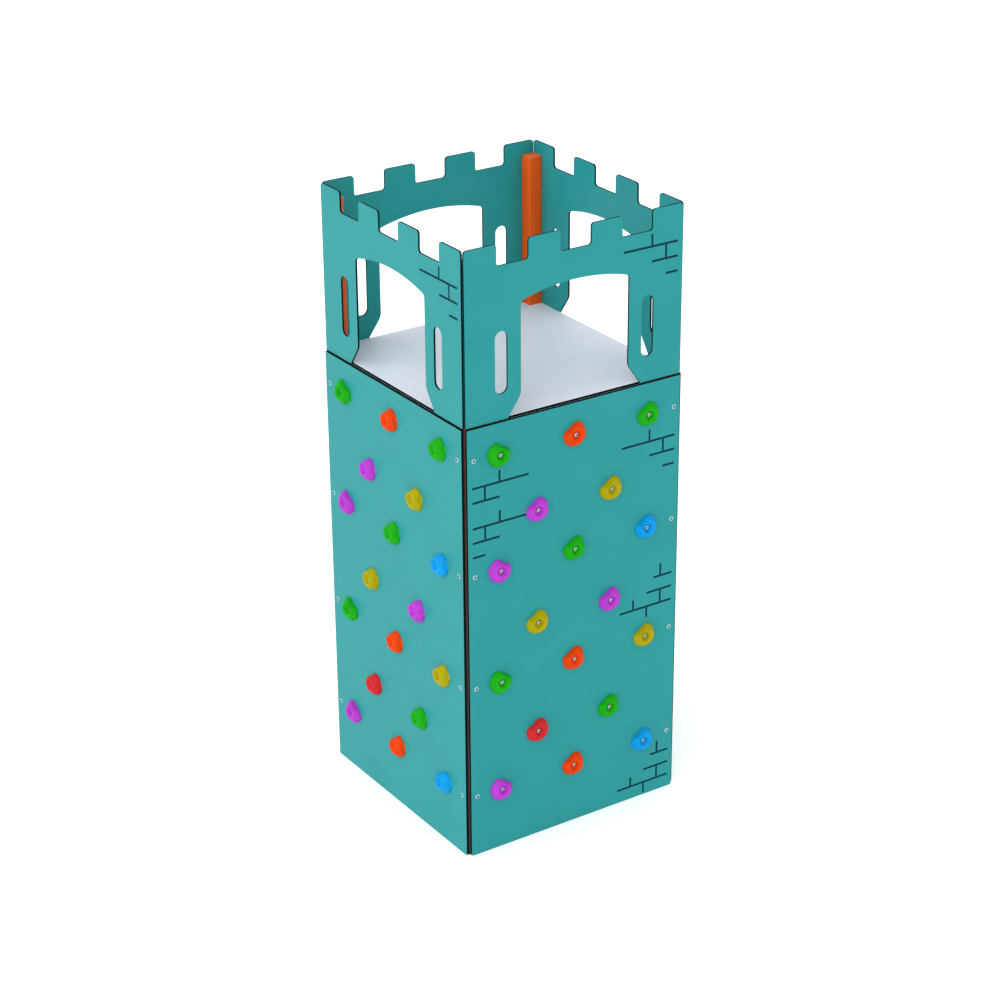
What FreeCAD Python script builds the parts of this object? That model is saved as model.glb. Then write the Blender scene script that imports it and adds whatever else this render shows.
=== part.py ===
import FreeCAD, Part
import math
import os

# Castle climbing tower: four square steel posts, a climbing board on each side up to a deck,
# and a battlement board with an archway on each side above it.
# Millimetres, +Z up, origin on the ground at the middle of the tower.
# Side pieces are made once for the front side, which faces -Y, and turned about Z to the others.

Vector = FreeCAD.Vector

# ---- driving dimensions ----
tower_width = 1200.0            # across the outer faces of two opposite climbing boards
climbing_board_height = 2160.0
climbing_board_thickness = 13.0
climbing_board_end_inset = 1.5  # from the outer face of the posts to the board's end
battlement_height = 811.0
battlement_thickness = 10.0
battlement_end_inset = 0.5
seam_gap = 9.0                  # between a climbing board and the battlement board above it
spacer_thickness = 4.0          # pads between the climbing boards and the posts
spacer_radius = 20.0

post_side = 70.0
post_wall = 3.0
post_corner_radius = 5.0
post_below_merlons = 64.0       # from the merlon tops down to the post tops
cap_thickness = 4.0
cap_plug_depth = 16.0
cap_plug_wall = 3.0
cap_clearance = 0.3

base_plate_side = 160.0
base_plate_thickness = 8.0
anchor_hole_radius = 7.0
anchor_far_offset = 120.0       # from the plate's outer sides to an anchor hole
anchor_near_offset = 60.0

deck_thickness = 12.0
deck_rise = 12.5                # deck surface above the top of the climbing boards
deck_edge_gap = 1.0
deck_post_gap = 1.0

rail_height = 60.0
rail_depth = 40.0
rail_wall = 3.0
rail_plate_thickness = 6.0
rail_bolt_spread = 14.5         # above and below the rail's middle
rail_bolt_stagger = 6.5         # left ends lower, right ends higher, so that bolts miss inside a post
rail_bolt_inset = 15.0          # from the post's inner corner to the bolt
mid_rail_height = 1281.0        # middle of the rail above the ground
bottom_rail_height = 150.0
joist_spacing = 380.0
joist_plate_width = 80.0
joist_bolt_spread = 30.0

top_row_drop = 149.0            # from the board's top to the first row of board screws
bottom_row_height = 313.0       # from the board's foot to the last row
row_count = 4
stagger_drop = 318.0            # the second and fourth hold columns start this much lower
hold_column_pitch = 203.5
hold_grid_shift = -10.5         # the grid of holds from the board's middle line, seen from outside
hold_row_lift = 1.0             # hold rows above the rows of board screws

screw_radius = 4.0
screw_clearance = 0.5
screw_head_radius = 12.0
screw_head_height = 2.5
bolt_head_radius = 13.8
bolt_head_height = 5.0
frame_head_radius = 8.0         # bolts of the rails and joists
frame_head_height = 4.0
rivet_nut_radius = 6.0
rivet_nut_length = 17.0
rivet_flange_radius = 9.0
rivet_flange_thickness = 1.0
thread_clearance = 0.1
nut_hole_clearance = 0.1

battlement_bolt_start = 62.0    # from the battlement board's lower edge to the first bolt
battlement_bolt_pitch = 328.0
battlement_bolt_count = 3
cross_bolt_stagger = 20.0       # keeps the through bolts of two sides apart inside one post
blind_hole_skin = 3.0           # board left in front of a bolt that comes from inside

merlon_count = 4
crenel_depth = 98.0
merlon_corner_radius = 16.0
arch_half_width = 291.0
arch_rise = 573.0               # crown above the board's lower edge
arch_crown_radius = 1014.0
arch_corner_radius = 24.0
arch_foot_half_width = 360.0
arch_foot_height = 98.0
arch_foot_bend_radius = 60.0
slot_offset = 394.0
slot_width = 66.0
slot_length = 292.0
slot_start = 121.5              # slot's lower end above the board's lower edge
board_foot_radius = 10.0

groove_width = 11.0
groove_depth = 2.0
course_height = 70.5
half_brick = 78.0
brick_column_offset = 13.0      # from the board's end to the first column line
groove_end_margin = 25.0
battlement_pattern_drop = 172.0
left_pattern_drops = (281.5, 477.0)     # long brick lines below the climbing board's top
right_pattern_drop = 289.5
rising_pattern_heights = (1025.0, 68.0)   # long brick lines above its foot

hold_radius = 60.5
hold_depth = 36.0
# direction, half angle and depth of each notch; the depth is a share of the hold's radius
hold_notches = ((123.0, 36.0, 0.31), (-88.0, 24.0, 0.1))
hold_lean = 0.02                # how much further the outline reaches to the right of the bolt
# the hold's outline and height at each section, as shares of its base outline and its depth
hold_sections = ((1.0, 0.0), (0.95, 0.35), (0.85, 0.75), (0.66, 1.0))
hold_outline_points = 24
hold_dish_radius = 26.0
hold_seat_height = 10.0         # hold left under the bolt head
hold_dish_clearance = 1.5       # around the bolt head
hold_bore_radius = 5.5
hold_bolt_radius = 5.0
hold_bolt_head_radius = 10.0
hold_bolt_head_height = 8.0
hold_bolt_socket_radius = 4.6
hold_bolt_socket_depth = 4.5
hold_bolt_back_length = 8.0     # bolt past the back of the board
t_nut_barrel_radius = 6.4
t_nut_barrel_length = 11.0
t_nut_flange_radius = 12.5
t_nut_flange_thickness = 1.5
t_nut_hole_clearance = 0.1

deck_screw_radius = 3.0
deck_screw_head_radius = 6.0
deck_screw_head_depth = 3.5
deck_screw_length = 24.0
deck_screw_pitch = 240.0
deck_screws_per_rail = 4

# the colour of each hold, column by column from the left, top to bottom
hold_columns = (
    ("green", "magenta", "green", "magenta"),
    ("magenta", "yellow", "red"),
    ("orange", "green", "orange", "orange"),
    ("yellow", "magenta", "green"),
    ("green", "blue", "yellow", "blue"),
)
turned_hold_column = 0
turned_hold_angle = 65.0        # that column's holds are turned clockwise by this

side_turns = {"front": 0.0, "right": 90.0, "back": 180.0, "left": 270.0}
post_turns = {"front_left": 0.0, "front_right": 90.0, "back_right": 180.0, "back_left": 270.0}
engraved_sides = ("front", "back")
outside_bolted_sides = ("right", "back")

# brick patterns in courses and half bricks; course 0 is the longest line, reach counts columns
falling_lines = ((0, 4), (-1, 2), (-2, 1))
falling_uprights = ((2, 0, 0.82), (1, -1, 0))
rising_lines = ((0, 4), (1, 2), (2, 1.5))
rising_uprights = ((3, 0, 0.75), (2, -0.8, 0), (1, 0, 1), (1, 2, 2.9))

# ---- places worked out from the driving dimensions ----
board_face = tower_width / 2
board_back = board_face - climbing_board_thickness
post_face = board_back - spacer_thickness
post_inner = post_face - post_side
post_middle = post_face - post_side / 2
battlement_face = post_face + battlement_thickness
battlement_bottom = climbing_board_height + seam_gap
merlon_top = battlement_bottom + battlement_height
post_top = merlon_top - post_below_merlons
deck_top = climbing_board_height + deck_rise
deck_bottom = deck_top - deck_thickness
climbing_board_end = post_face - climbing_board_end_inset
battlement_end = post_face - battlement_end_inset
rail_levels = {
    "deck_beam": deck_bottom - rail_height / 2,
    "mid_rail": mid_rail_height,
    "bottom_rail": bottom_rail_height,
}
row_pitch = (climbing_board_height - top_row_drop - bottom_row_height) / (row_count - 1)
board_rows = [bottom_row_height + (row_count - 1 - i) * row_pitch for i in range(row_count)]
battlement_rows = [
    battlement_bottom + battlement_bolt_start + i * battlement_bolt_pitch
    for i in range(battlement_bolt_count)
]
nut_hole_radius = rivet_nut_radius + nut_hole_clearance
screw_hole_radius = screw_radius + screw_clearance


# ---- shape helpers, all in the front side's frame ----
def block(x0, x1, y0, y1, z0, z1):
    return Part.makeBox(x1 - x0, y1 - y0, z1 - z0, Vector(x0, y0, z0))


def rod(x, z, y0, y1, radius):
    """A cylinder along Y at (x, z)."""
    return Part.makeCylinder(radius, y1 - y0, Vector(x, y0, z), Vector(0, 1, 0))


def domed_screw(x, z, seat, tip, head_radius, head_height):
    """A screw along Y, turned from one profile: a low dome on the plane y = seat, a shank to y = tip."""
    outward = -1 if tip > seat else 1
    dome_radius = (head_radius ** 2 + head_height ** 2) / (2 * head_height)
    dome_centre = seat + outward * (head_height - dome_radius)
    half_way = math.asin(head_radius / dome_radius) / 2
    crown = Vector(0, seat + outward * head_height, 0)
    middle = Vector(dome_radius * math.sin(half_way),
                    dome_centre + outward * dome_radius * math.cos(half_way), 0)
    rim = Vector(head_radius, seat, 0)
    line = [rim, Vector(screw_radius, seat, 0), Vector(screw_radius, tip, 0), Vector(0, tip, 0), crown]
    edges = [Part.LineSegment(line[i], line[i + 1]).toShape() for i in range(len(line) - 1)]
    edges.append(Part.Arc(crown, middle, rim).toShape())
    screw = Part.Face(Part.Wire(edges)).revolve(Vector(0, 0, 0), Vector(0, 1, 0), 360)
    screw.translate(Vector(x, 0, z))
    return screw


def turned(shape, degrees):
    """A copy of a front-side shape, turned about the tower's axis."""
    copy = shape.copy()
    copy.rotate(Vector(0, 0, 0), Vector(0, 0, 1), degrees)
    return copy


def corner_arc(before, corner, after, radius):
    """The tangent arc that rounds one corner of an outline, as (start, middle, end)."""
    to_before = (before - corner).normalize()
    to_after = (after - corner).normalize()
    half_angle = to_before.getAngle(to_after) / 2
    bisector = (to_before + to_after).normalize()
    centre = corner + bisector * (radius / math.sin(half_angle))
    reach = radius / math.tan(half_angle)
    return corner + to_before * reach, centre - bisector * radius, corner + to_after * reach


def outline_wire(corners):
    """A closed wire through (x, z, radius) corners, each rounded where its radius is above zero."""
    points = [Vector(x, 0, z) for x, z, radius in corners]
    spans = []
    for i, (x, z, radius) in enumerate(corners):
        if radius > 0:
            spans.append(corner_arc(points[i - 1], points[i], points[(i + 1) % len(points)], radius))
        else:
            spans.append((points[i], None, points[i]))
    edges = []
    for i, (start, middle, end) in enumerate(spans):
        if middle is not None:
            edges.append(Part.Arc(start, middle, end).toShape())
        edges.append(Part.LineSegment(end, spans[(i + 1) % len(spans)][0]).toShape())
    return Part.Wire(edges)


def plate(wire, y_front, thickness):
    """A wire drawn at y = 0, made a plate whose front face is at y_front."""
    solid = Part.Face(wire).extrude(Vector(0, thickness, 0))
    solid.translate(Vector(0, y_front, 0))
    return solid


def rounded_bar(x0, y0, width, depth, radius, length):
    """A solid bar along Z with rounded upright edges."""
    bar = Part.makeBox(width, depth, length, Vector(x0, y0, 0))
    upright = [e for e in bar.Edges if abs(e.tangentAt(e.FirstParameter).z) > 0.99]
    return bar.makeFillet(radius, upright)


def bore_radius(corner_radius, wall):
    """The inside corner radius of a hollow section."""
    return max(corner_radius - wall, wall / 3)


def square_tube(side_x, side_y, wall, corner_radius, length):
    """A hollow section along Z, with its outer corner at the origin."""
    inner = rounded_bar(wall, wall, side_x - 2 * wall, side_y - 2 * wall,
                        bore_radius(corner_radius, wall), length)
    return rounded_bar(0, 0, side_x, side_y, corner_radius, length).cut(inner)


# ---- posts ----
def post(name):
    """The front-left post with its screw and bolt holes, before it is turned to its corner."""
    tube_top = post_top - cap_thickness
    tube = square_tube(post_side, post_side, post_wall, post_corner_radius,
                       tube_top - base_plate_thickness)
    tube.translate(Vector(-post_face, -post_face, base_plate_thickness))
    faces = list(side_turns)
    own_side = faces[list(post_turns).index(name)]
    next_side = faces[list(post_turns).index(name) - 1]
    cuts = []
    for side, swap in ((own_side, False), (next_side, True)):
        for tool in post_face_holes(side):
            cuts.append(swap_axes(tool) if swap else tool)
    for end in (-1, 1):
        for z in rail_bolt_heights(end):
            hole = rod(-(post_inner + rail_bolt_inset), z, -post_inner - 2 * post_wall,
                       -post_inner + post_wall, nut_hole_radius)
            cuts.append(swap_axes(hole) if end < 0 else hole)
    return tube.cut(Part.makeCompound(cuts))


def rail_bolt_heights(end):
    """Heights of the bolts at the left (-1) or right (1) ends of the rails."""
    return [level + end * rail_bolt_stagger + offset for level in rail_levels.values()
            for offset in (-rail_bolt_spread, rail_bolt_spread)]


def swap_axes(shape):
    """Mirrors a tool across the post's diagonal, from its front face to its left face."""
    return shape.mirror(Vector(0, 0, 0), Vector(1, -1, 0))


def post_face_holes(side):
    """Holes in the post's front face for one side's boards."""
    holes = [rod(-post_middle, z, -post_face - post_wall, -post_face + 2 * post_wall, nut_hole_radius)
             for z in board_rows]
    for z in bolt_rows(side):
        if side in outside_bolted_sides:
            holes.append(rod(-post_middle, z, -post_face - post_wall,
                             -post_face + 2 * post_wall, nut_hole_radius))
        else:
            holes.append(rod(-post_middle, z, -post_face - post_wall,
                             -post_inner + post_wall, screw_hole_radius))
    return holes


def bolt_rows(side):
    """Heights of a side's battlement bolts; the left side's are lower, clear of the front's."""
    drop = cross_bolt_stagger if side == "left" else 0.0
    return [z - drop for z in battlement_rows]


def post_cap():
    """A push-in cap whose plate is flush with the post."""
    top = rounded_bar(0, 0, post_side, post_side, post_corner_radius, cap_thickness)
    plug_start = post_wall + cap_clearance
    plug_side = post_side - 2 * plug_start
    plug = square_tube(plug_side, plug_side, cap_plug_wall, bore_radius(post_corner_radius, post_wall),
                       cap_plug_depth)
    plug.translate(Vector(plug_start, plug_start, -cap_plug_depth))
    cap = top.fuse(plug)
    cap.translate(Vector(-post_face, -post_face, post_top - cap_thickness))
    return cap


def base_plate():
    """Stands inside the corner of the boards, with two anchor holes clear of the post."""
    outer = -post_face
    base = block(outer, outer + base_plate_side, outer, outer + base_plate_side, 0, base_plate_thickness)
    for x, y in ((anchor_far_offset, anchor_near_offset), (anchor_near_offset, anchor_far_offset)):
        base = base.cut(Part.makeCylinder(anchor_hole_radius, base_plate_thickness,
                                          Vector(outer + x, outer + y, 0)))
    return base


# ---- boards ----
def groove(x0, x1, z0, z1, face):
    return block(x0, x1, -face, -face + groove_depth, z0, z1)


def brick_grooves(lines, uprights, board_end, direction, long_line_z, face):
    """Engraved brick joints beside one end of a board; direction is -1 at the left, 1 at the right."""
    half = groove_width / 2

    def column(count):
        return direction * (board_end - brick_column_offset - count * half_brick)

    grooves = []
    for course, reach in lines:
        x0, x1 = sorted((direction * (board_end - groove_end_margin), column(reach)))
        z = long_line_z + course * course_height
        grooves.append(groove(x0, x1, z - half, z + half, face))
    for count, low, high in uprights:
        x = column(count)
        grooves.append(groove(x - half, x + half, long_line_z + low * course_height,
                              long_line_z + high * course_height, face))
    return grooves


def hold_places():
    """(x, z, colour, turn) of each hold on a climbing board."""
    places = []
    middle = (len(hold_columns) - 1) / 2
    for column, colours in enumerate(hold_columns):
        x = (column - middle) * hold_column_pitch + hold_grid_shift
        drop = stagger_drop if column % 2 else 0.0
        turn = turned_hold_angle if column == turned_hold_column else 0.0
        for row, colour in enumerate(colours):
            z = board_rows[0] + hold_row_lift - drop - row * row_pitch
            places.append((x, z, colour, turn))
    return places


def screw_places():
    return [(x, z) for z in board_rows for x in (-post_middle, post_middle)]


def climbing_board(engraved):
    end = climbing_board_end
    wire = outline_wire((
        (-end, 0, board_foot_radius), (end, 0, board_foot_radius),
        (end, climbing_board_height, 0), (-end, climbing_board_height, 0),
    ))
    board = plate(wire, -board_face, climbing_board_thickness)
    t_nut_hole = t_nut_barrel_radius + t_nut_hole_clearance
    cuts = [rod(x, z, -board_face, -board_back, t_nut_hole) for x, z, colour, turn in hold_places()]
    cuts += [rod(x, z, -board_face, -board_back, screw_hole_radius) for x, z in screw_places()]
    if engraved:
        top = climbing_board_height
        cuts += brick_grooves(falling_lines[:2], falling_uprights, end, -1,
                              top - left_pattern_drops[0], board_face)
        cuts += brick_grooves(falling_lines, falling_uprights, end, -1,
                              top - left_pattern_drops[1], board_face)
        cuts += brick_grooves(falling_lines, falling_uprights, end, 1,
                              top - right_pattern_drop, board_face)
        for height in rising_pattern_heights:
            cuts += brick_grooves(rising_lines, rising_uprights, end, 1, height, board_face)
    for tool in cuts:
        board = board.cut(tool)
    return board


def battlement_outline():
    """Equal merlons and crenels, with every corner along the top rounded."""
    end = battlement_end
    module = 2 * end / (2 * merlon_count - 1)
    crenel_z = merlon_top - crenel_depth
    radius = merlon_corner_radius
    corners = [(-end, battlement_bottom, 0), (end, battlement_bottom, 0)]
    for i in range(merlon_count):
        right = end - 2 * i * module
        left = right - module
        corners += [(right, merlon_top, radius), (left, merlon_top, radius)]
        if i < merlon_count - 1:
            corners += [(left, crenel_z, radius), (left - module, crenel_z, radius)]
    return outline_wire(corners)


def arch_opening():
    """The archway: flared foot, straight jambs, rounded shoulders and a shallow crown."""
    crown_centre = battlement_bottom + arch_rise - arch_crown_radius
    shoulder_x = arch_half_width - arch_corner_radius
    inner = arch_crown_radius - arch_corner_radius
    shoulder_z = crown_centre + math.sqrt(inner ** 2 - shoulder_x ** 2)
    lean = math.atan2(shoulder_x, shoulder_z - crown_centre)
    foot_z = battlement_bottom + arch_foot_height
    edges = []
    crown_ends = []
    for side in (-1, 1):
        foot = Vector(side * arch_foot_half_width, 0, battlement_bottom)
        bend = Vector(side * arch_half_width, 0, foot_z)
        jamb_top = Vector(side * arch_half_width, 0, shoulder_z)
        bend_start, bend_middle, bend_end = corner_arc(foot, bend, jamb_top, arch_foot_bend_radius)
        crown_end = Vector(side * arch_crown_radius * math.sin(lean), 0,
                           crown_centre + arch_crown_radius * math.cos(lean))
        half_turn = (lean + math.pi / 2) / 2
        shoulder_middle = Vector(side * (shoulder_x + arch_corner_radius * math.sin(half_turn)), 0,
                                 shoulder_z + arch_corner_radius * math.cos(half_turn))
        edges += [
            Part.LineSegment(foot, bend_start).toShape(),
            Part.Arc(bend_start, bend_middle, bend_end).toShape(),
            Part.LineSegment(bend_end, jamb_top).toShape(),
            Part.Arc(jamb_top, shoulder_middle, crown_end).toShape(),
        ]
        crown_ends.append(crown_end)
    crown = Vector(0, 0, battlement_bottom + arch_rise)
    edges.append(Part.Arc(crown_ends[0], crown, crown_ends[1]).toShape())
    edges.append(Part.LineSegment(Vector(-arch_foot_half_width, 0, battlement_bottom),
                                  Vector(arch_foot_half_width, 0, battlement_bottom)).toShape())
    return Part.Wire(Part.__sortEdges__(edges))


def slot_wire(x):
    half = slot_width / 2
    low = battlement_bottom + slot_start + half
    high = battlement_bottom + slot_start + slot_length - half
    return Part.Wire([
        Part.LineSegment(Vector(x + half, 0, low), Vector(x + half, 0, high)).toShape(),
        Part.Arc(Vector(x + half, 0, high), Vector(x, 0, high + half), Vector(x - half, 0, high)).toShape(),
        Part.LineSegment(Vector(x - half, 0, high), Vector(x - half, 0, low)).toShape(),
        Part.Arc(Vector(x - half, 0, low), Vector(x, 0, low - half), Vector(x + half, 0, low)).toShape(),
    ])


def battlement_board(side):
    board = plate(battlement_outline(), -battlement_face, battlement_thickness)
    cuts = [plate(arch_opening(), -battlement_face, battlement_thickness)]
    for x in (-slot_offset, slot_offset):
        cuts.append(plate(slot_wire(x), -battlement_face, battlement_thickness))
    cuts += brick_grooves(falling_lines, falling_uprights, battlement_end, 1,
                          merlon_top - battlement_pattern_drop, battlement_face)
    hole_start = -battlement_face
    if side not in outside_bolted_sides:
        hole_start += blind_hole_skin
    for z in bolt_rows(side):
        for x in (-post_middle, post_middle):
            cuts.append(rod(x, z, hole_start, -post_face, screw_hole_radius))
    for tool in cuts:
        board = board.cut(tool)
    return board


# ---- deck and rails ----
def deck_screw_places():
    """(x, y) of the screws over the deck beams and the joists."""
    start = -(deck_screws_per_rail - 1) / 2 * deck_screw_pitch
    steps = [start + i * deck_screw_pitch for i in range(deck_screws_per_rail)]
    beam_line = post_face - rail_depth / 2
    places = [(x, y) for x in steps for y in (-beam_line, beam_line)]
    places += [(x, y) for y in steps for x in (-beam_line, beam_line)]
    places += [(x, y) for y in steps for x in (-joist_spacing / 2, joist_spacing / 2)]
    return places


def deck_screw_shape(x, y, clearance):
    """A countersunk screw, flush with the deck; with a clearance it is the hole for one."""
    shank = Part.makeCylinder(deck_screw_radius + clearance, deck_screw_length,
                              Vector(x, y, deck_top - deck_screw_length))
    head = Part.makeCone(deck_screw_radius + clearance, deck_screw_head_radius + clearance,
                         deck_screw_head_depth, Vector(x, y, deck_top - deck_screw_head_depth))
    return shank.fuse(head)


def deck():
    half = post_face - deck_edge_gap
    notch = post_inner - deck_post_gap
    board = block(-half, half, -half, half, deck_bottom, deck_top)
    for x in (-1, 1):
        for y in (-1, 1):
            x0, x1 = sorted((x * notch, x * post_face))
            y0, y1 = sorted((y * notch, y * post_face))
            board = board.cut(block(x0, x1, y0, y1, deck_bottom, deck_top))
    for x, y in deck_screw_places():
        board = board.cut(deck_screw_shape(x, y, thread_clearance))
    return board


def rail(level, screwed):
    """A rail between the two front posts, with a welded plate at each end."""
    length = 2 * post_inner
    tube = square_tube(rail_height, rail_depth, rail_wall, rail_wall, length - 2 * rail_plate_thickness)
    tube.rotate(Vector(0, 0, 0), Vector(0, 1, 0), 90)
    tube.translate(Vector(-post_inner + rail_plate_thickness, -post_face, level + rail_height / 2))
    body = tube
    for side in (-1, 1):
        x0, x1 = sorted((side * post_inner, side * (post_inner - rail_plate_thickness)))
        end_plate = block(x0, x1, -post_face, -post_inner, level - rail_height / 2, level + rail_height / 2)
        for z in rail_bolt_heights(side):
            end_plate = end_plate.cut(Part.makeCylinder(
                screw_hole_radius, rail_plate_thickness,
                Vector(x0, -(post_inner + rail_bolt_inset), z), Vector(1, 0, 0)))
        body = body.fuse(end_plate)
    if screwed:
        body = cut_deck_screw_holes(body)
    return body.removeSplitter()


def cut_deck_screw_holes(body):
    box = body.BoundBox
    for x, y in deck_screw_places():
        if box.XMin < x < box.XMax and box.YMin < y < box.YMax:
            body = body.cut(deck_screw_shape(x, y, thread_clearance))
    return body


def joist(x):
    """A deck joist from the front beam to the back beam."""
    level = rail_levels["deck_beam"]
    reach = post_face - rail_depth
    tube = square_tube(rail_depth, rail_height, rail_wall, rail_wall, 2 * (reach - rail_plate_thickness))
    tube.rotate(Vector(0, 0, 0), Vector(1, 0, 0), -90)
    tube.translate(Vector(x - rail_depth / 2, -reach + rail_plate_thickness, level + rail_height / 2))
    body = tube
    for side in (-1, 1):
        y0, y1 = sorted((side * reach, side * (reach - rail_plate_thickness)))
        end_plate = block(x - joist_plate_width / 2, x + joist_plate_width / 2, y0, y1,
                          level - rail_height / 2, level + rail_height / 2)
        for offset in (-joist_bolt_spread, joist_bolt_spread):
            end_plate = end_plate.cut(rod(x + offset, level, y0, y1, screw_hole_radius))
        body = body.fuse(end_plate)
    return cut_deck_screw_holes(body).removeSplitter()


def joist_bolts(x):
    """Bolts through the joist's end plates into the front and back beams."""
    level = rail_levels["deck_beam"]
    reach = post_face - rail_depth
    bolts = []
    for side in (-1, 1):
        seat = side * (reach - rail_plate_thickness)
        tip = side * (reach + 2 * rail_wall)
        for offset in (-joist_bolt_spread, joist_bolt_spread):
            bolts.append(domed_screw(x + offset, level, seat, tip, frame_head_radius, frame_head_height))
    return bolts


def deck_beam_joist_holes(beam):
    """Holes in a beam's inner wall for the joist bolts."""
    level = rail_levels["deck_beam"]
    reach = post_face - rail_depth
    for x in (-joist_spacing / 2, joist_spacing / 2):
        for offset in (-joist_bolt_spread, joist_bolt_spread):
            beam = beam.cut(rod(x + offset, level, -reach - 2 * rail_wall, -reach,
                                screw_radius + thread_clearance))
    return beam


# ---- fasteners, for the front side ----
def rivet_nut(x, z, face_y):
    """A threaded insert set in a wall whose face is at face_y, reaching towards +Y."""
    body = rod(x, z, face_y, face_y + rivet_nut_length, rivet_nut_radius)
    flange = rod(x, z, face_y - rivet_flange_thickness, face_y, rivet_flange_radius)
    bore = rod(x, z, face_y - rivet_flange_thickness, face_y + rivet_nut_length,
               screw_radius + thread_clearance)
    return body.fuse(flange).cut(bore).removeSplitter()


def board_screw(x, z):
    tip = -post_face + rivet_nut_length
    return domed_screw(x, z, -board_face, tip, screw_head_radius, screw_head_height)


def spacer(x, z):
    ring = rod(x, z, -board_back, -post_face, spacer_radius)
    return ring.cut(rod(x, z, -board_back, -post_face, rivet_flange_radius + screw_clearance))


def battlement_bolt(x, z, side):
    """From outside into an insert in the post, or from inside through the post into the board."""
    if side in outside_bolted_sides:
        seat, tip = -battlement_face, -post_face + rivet_nut_length
    else:
        seat, tip = -post_inner, -battlement_face + blind_hole_skin
    return domed_screw(x, z, seat, tip, bolt_head_radius, bolt_head_height)


def rail_bolt(z, side):
    """A bolt along X through a rail's end plate into the post at that end."""
    y = -(post_inner + rail_bolt_inset)
    seat = post_inner - rail_plate_thickness
    tip = rail_plate_thickness + rivet_nut_length
    bolt = domed_screw(0, 0, 0, tip, frame_head_radius, frame_head_height)
    bolt.rotate(Vector(0, 0, 0), Vector(0, 0, 1), -90 * side)
    bolt.translate(Vector(side * seat, y, z))
    return bolt


def rail_rivet_nut(z, side):
    y = -(post_inner + rail_bolt_inset)
    body = rod(0, 0, 0, rivet_nut_length, rivet_nut_radius)
    nut = body.cut(rod(0, 0, 0, rivet_nut_length, screw_radius + thread_clearance))
    nut.rotate(Vector(0, 0, 0), Vector(0, 0, 1), -90 * side)
    nut.translate(Vector(side * post_inner, y, z))
    return nut


# ---- climbing holds ----
def hold_outline(scale, y):
    """A rounded outline with a broad notch and a shallow one, as a closed spline about the bolt."""
    points = []
    for i in range(hold_outline_points):
        angle = 2 * math.pi * i / hold_outline_points
        notch = 0.0
        for direction, half_angle, depth in hold_notches:
            away = (math.degrees(angle) - direction + 180) % 360 - 180
            notch += depth * math.exp(-(away / half_angle) ** 4)
        radius = hold_radius * scale * (1 + hold_lean * math.cos(angle) - notch)
        points.append(Vector(radius * math.cos(angle), y, radius * math.sin(angle)))
    curve = Part.BSplineCurve()
    curve.interpolate(points, PeriodicFlag=True)
    return Part.Wire(curve.toShape())


def hold_blank():
    """One hold at the origin, its back on y = 0, standing out towards -Y."""
    sections = [hold_outline(scale, -share * hold_depth) for scale, share in hold_sections]
    body = Part.makeLoft(sections, True, False)
    seat = -hold_seat_height
    dish = Part.makeCone(hold_bolt_head_radius + hold_dish_clearance, hold_dish_radius,
                         hold_depth - hold_seat_height,
                         Vector(0, seat, 0), Vector(0, -1, 0))
    return body.cut(dish).cut(rod(0, 0, seat, 0, hold_bore_radius))


def hold_bolt_blank():
    """A socket-head bolt seated in the hold and reaching past the back of the board."""
    seat = -hold_seat_height
    shank = rod(0, 0, seat, climbing_board_thickness + hold_bolt_back_length, hold_bolt_radius)
    head = rod(0, 0, seat - hold_bolt_head_height, seat, hold_bolt_head_radius)
    corners = [Vector(hold_bolt_socket_radius * math.cos(math.radians(60 * i)), 0,
                      hold_bolt_socket_radius * math.sin(math.radians(60 * i))) for i in range(7)]
    socket = plate(Part.makePolygon(corners), seat - hold_bolt_head_height, hold_bolt_socket_depth)
    return shank.fuse(head).cut(socket).removeSplitter()


def t_nut_blank():
    """A T-nut with its flange on the back of the board."""
    back = climbing_board_thickness
    barrel = rod(0, 0, back - t_nut_barrel_length, back, t_nut_barrel_radius)
    flange = rod(0, 0, back, back + t_nut_flange_thickness, t_nut_flange_radius)
    bore = rod(0, 0, 0, back + t_nut_flange_thickness, hold_bolt_radius + thread_clearance)
    return barrel.fuse(flange).cut(bore).removeSplitter()


def placed_on_board(blank, x, z, turn, side):
    """A copy of a blank, turned about its bolt, at (x, z) on one side's climbing board."""
    copy = blank.copy()
    copy.rotate(Vector(0, 0, 0), Vector(0, 1, 0), turn)
    copy.translate(Vector(x, -board_face, z))
    return turned(copy, side_turns[side])


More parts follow.
